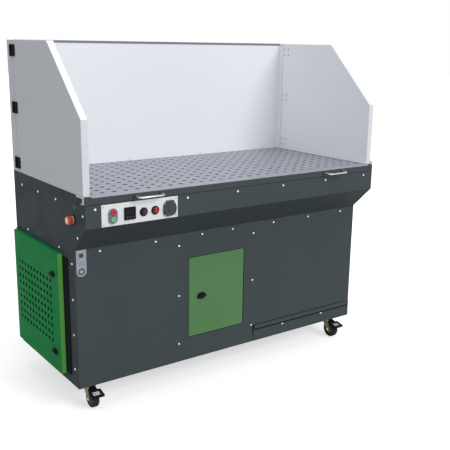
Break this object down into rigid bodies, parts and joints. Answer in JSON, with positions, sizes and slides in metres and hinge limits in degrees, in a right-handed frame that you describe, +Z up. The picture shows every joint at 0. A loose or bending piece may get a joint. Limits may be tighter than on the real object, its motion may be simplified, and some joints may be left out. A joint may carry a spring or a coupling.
{
  "type": "downdraft table",
  "caption": "Sheet-metal downdraft grinding table on casters, with a perforated worktop, hinged side wings and a back wall, and a fan and filters in the cabinet below.",
  "frame": {"origin": "on the floor, under the middle of the whole table's bounding box", "axes": "+X along the table's width to the user's right, +Y from the front to the back wall, +Z up, out of the worktop"},
  "size_m": [1.545, 0.779, 1.465],
  "materials": {
    "anthracite": "satin powder coat",
    "wall_white": "satin powder coat",
    "galvanised": "dull zinc-coated",
    "door_green": "satin powder coat",
    "side_green": "satin powder coat",
    "black_plastic": "matt",
    "grey_plastic": "matt",
    "red_plastic": "gloss",
    "dark_red_lens": "gloss lens, unlit",
    "green_plastic": "gloss",
    "yellow_plastic": "matt",
    "plate_white": "satin silver-white",
    "zinc": "yellow passivated zinc",
    "wheel_rubber": "matt",
    "bright_steel": "polished",
    "black_metal": "matt black",
    "grey_metal": "satin",
    "grey_cast": "satin painted casting",
    "filter_paper": "pleated filter paper"
  },
  "bodies": {
    "cabinet": {"base_pan": "anthracite", "left_side_panel": "anthracite", "right_side_panel": "anthracite", "rear_panel": "anthracite", "lower_front_panel": "anthracite", "control_fascia": "anthracite", "cable_gland": "black_plastic", "worktop_rim": "anthracite", "perforated_worktop": "galvanised", "back_wall": "wall_white", "left_wing_hinge_bottom": "black_metal", "left_wing_hinge_middle": "black_metal", "left_wing_hinge_top": "black_metal", "right_wing_hinge_bottom": "black_metal", "right_wing_hinge_middle": "black_metal", "right_wing_hinge_top": "black_metal", "control_plate": "plate_white", "twin_button_bezel": "grey_plastic", "panel_meter": "black_plastic", "running_lamp": "dark_red_lens", "fault_lamp": "red_plastic", "socket_outlet": "black_plastic", "estop_collar": "yellow_plastic", "plenum_hopper": "galvanised", "filter_partition": "galvanised", "filter_cartridge_front": "filter_paper", "filter_cartridge_rear": "filter_paper", "fan_housing": "grey_metal", "fan_motor": "grey_cast", "electrical_box": "grey_plastic", "front_left_caster_plate": "zinc", "front_right_caster_plate": "zinc", "rear_left_caster_plate": "zinc", "rear_right_caster_plate": "zinc"},
    "spark_tray": {"spark_tray": "anthracite", "left_tray_handle": "bright_steel", "right_tray_handle": "bright_steel"},
    "dust_drawer": {"dust_drawer": "anthracite"},
    "left_wing": {"left_wing": "wall_white"},
    "right_wing": {"right_wing": "wall_white"},
    "front_door": {"front_door": "door_green"},
    "front_door_latch": {"front_door_latch": "black_plastic"},
    "side_door": {"side_door": "side_green"},
    "side_door_upper_latch": {"side_door_upper_latch": "black_plastic"},
    "side_door_lower_latch": {"side_door_lower_latch": "black_plastic"},
    "estop_button": {"estop_button": "red_plastic"},
    "stop_button": {"stop_button": "red_plastic"},
    "start_button": {"start_button": "green_plastic"},
    "socket_lid": {"socket_lid": "black_plastic"},
    "fan_impeller": {"fan_impeller": "galvanised"},
    "front_left_fork": {"front_left_caster_fork": "zinc"},
    "front_left_wheel": {"front_left_wheel": "wheel_rubber"},
    "front_left_pedal": {"front_left_brake_pedal": "black_metal"},
    "front_right_fork": {"front_right_caster_fork": "zinc"},
    "front_right_wheel": {"front_right_wheel": "wheel_rubber"},
    "front_right_pedal": {"front_right_brake_pedal": "black_metal"},
    "rear_left_fork": {"rear_left_caster_fork": "zinc"},
    "rear_left_wheel": {"rear_left_wheel": "wheel_rubber"},
    "rear_right_fork": {"rear_right_caster_fork": "zinc"},
    "rear_right_wheel": {"rear_right_wheel": "wheel_rubber"}
  },
  "joints": [
    {"name": "tray_slide", "type": "slide", "parent": "cabinet", "child": "spark_tray", "axis": [0, -1, 0], "range_m": [0, 0.5]},
    {"name": "drawer_slide", "type": "slide", "parent": "cabinet", "child": "dust_drawer", "axis": [0, -1, 0], "range_m": [0, 0.42]},
    {"name": "left_wing_hinge", "type": "hinge", "parent": "cabinet", "child": "left_wing", "pos_m": [-0.74416, 0.3107, 1.188], "axis": [0, 0, -1], "range_deg": [0, 170]},
    {"name": "right_wing_hinge", "type": "hinge", "parent": "cabinet", "child": "right_wing", "pos_m": [0.76784, 0.3107, 1.188], "axis": [0, 0, 1], "range_deg": [0, 170]},
    {"name": "front_door_hinge", "type": "hinge", "parent": "cabinet", "child": "front_door", "pos_m": [0.07084, -0.2318, 0.3955], "axis": [0, 0, 1], "range_deg": [0, 110]},
    {"name": "front_latch_turn", "type": "hinge", "parent": "front_door", "child": "front_door_latch", "pos_m": [-0.15116, -0.2378, 0.3955], "axis": [0, 1, 0], "range_deg": [0, 90]},
    {"name": "side_door_hinge", "type": "hinge", "parent": "cabinet", "child": "side_door", "pos_m": [-0.74466, 0.3432, 0.397], "axis": [0, 0, -1], "range_deg": [0, 95]},
    {"name": "side_upper_latch_turn", "type": "hinge", "parent": "side_door", "child": "side_door_upper_latch", "pos_m": [-0.76016, -0.0668, 0.554], "axis": [-1, 0, 0], "range_deg": [0, 90]},
    {"name": "side_lower_latch_turn", "type": "hinge", "parent": "side_door", "child": "side_door_lower_latch", "pos_m": [-0.76016, -0.0668, 0.221], "axis": [1, 0, 0], "range_deg": [0, 90]},
    {"name": "estop_press", "type": "slide", "parent": "cabinet", "child": "estop_button", "axis": [1, 0, 0], "range_m": [0, 0.004]},
    {"name": "stop_press", "type": "slide", "parent": "cabinet", "child": "stop_button", "axis": [0, 1, 0], "range_m": [0, 0.003], "stiffness_N_per_m": 300},
    {"name": "start_press", "type": "slide", "parent": "cabinet", "child": "start_button", "axis": [0, 1, 0], "range_m": [0, 0.003], "stiffness_N_per_m": 300},
    {"name": "socket_lid_hinge", "type": "hinge", "parent": "cabinet", "child": "socket_lid", "pos_m": [-0.38116, -0.3579, 0.862], "axis": [-1, 0, 0], "range_deg": [0, 100], "stiffness_Nm_per_rad": 0.02},
    {"name": "fan_spin", "type": "hinge", "parent": "cabinet", "child": "fan_impeller", "pos_m": [-0.41916, 0.0685, 0.427], "axis": [1, 0, 0], "continuous": true},
    {"name": "front_left_swivel", "type": "hinge", "parent": "cabinet", "child": "front_left_fork", "pos_m": [-0.66316, -0.1638, 0.1], "axis": [0, 0, 1], "continuous": true},
    {"name": "front_left_roll", "type": "hinge", "parent": "front_left_fork", "child": "front_left_wheel", "pos_m": [-0.66316, -0.1988, 0.03951], "axis": [1, 0, 0], "continuous": true},
    {"name": "front_left_brake", "type": "hinge", "parent": "front_left_fork", "child": "front_left_pedal", "pos_m": [-0.66316, -0.1758, 0.089], "axis": [-1, 0, 0], "range_deg": [0, 14]},
    {"name": "front_right_swivel", "type": "hinge", "parent": "cabinet", "child": "front_right_fork", "pos_m": [0.68684, -0.1638, 0.1], "axis": [0, 0, 1], "continuous": true},
    {"name": "front_right_roll", "type": "hinge", "parent": "front_right_fork", "child": "front_right_wheel", "pos_m": [0.68684, -0.1988, 0.03951], "axis": [1, 0, 0], "continuous": true},
    {"name": "front_right_brake", "type": "hinge", "parent": "front_right_fork", "child": "front_right_pedal", "pos_m": [0.68684, -0.1758, 0.089], "axis": [-1, 0, 0], "range_deg": [0, 14]},
    {"name": "rear_left_swivel", "type": "hinge", "parent": "cabinet", "child": "rear_left_fork", "pos_m": [-0.61816, 0.2952, 0.1], "axis": [0, 0, 1], "continuous": true},
    {"name": "rear_left_roll", "type": "hinge", "parent": "rear_left_fork", "child": "rear_left_wheel", "pos_m": [-0.61816, 0.2602, 0.03951], "axis": [1, 0, 0], "continuous": true},
    {"name": "rear_right_swivel", "type": "hinge", "parent": "cabinet", "child": "rear_right_fork", "pos_m": [0.64184, 0.2952, 0.1], "axis": [0, 0, 1], "continuous": true},
    {"name": "rear_right_roll", "type": "hinge", "parent": "rear_right_fork", "child": "rear_right_wheel", "pos_m": [0.64184, 0.2602, 0.03951], "axis": [1, 0, 0], "continuous": true}
  ]
}
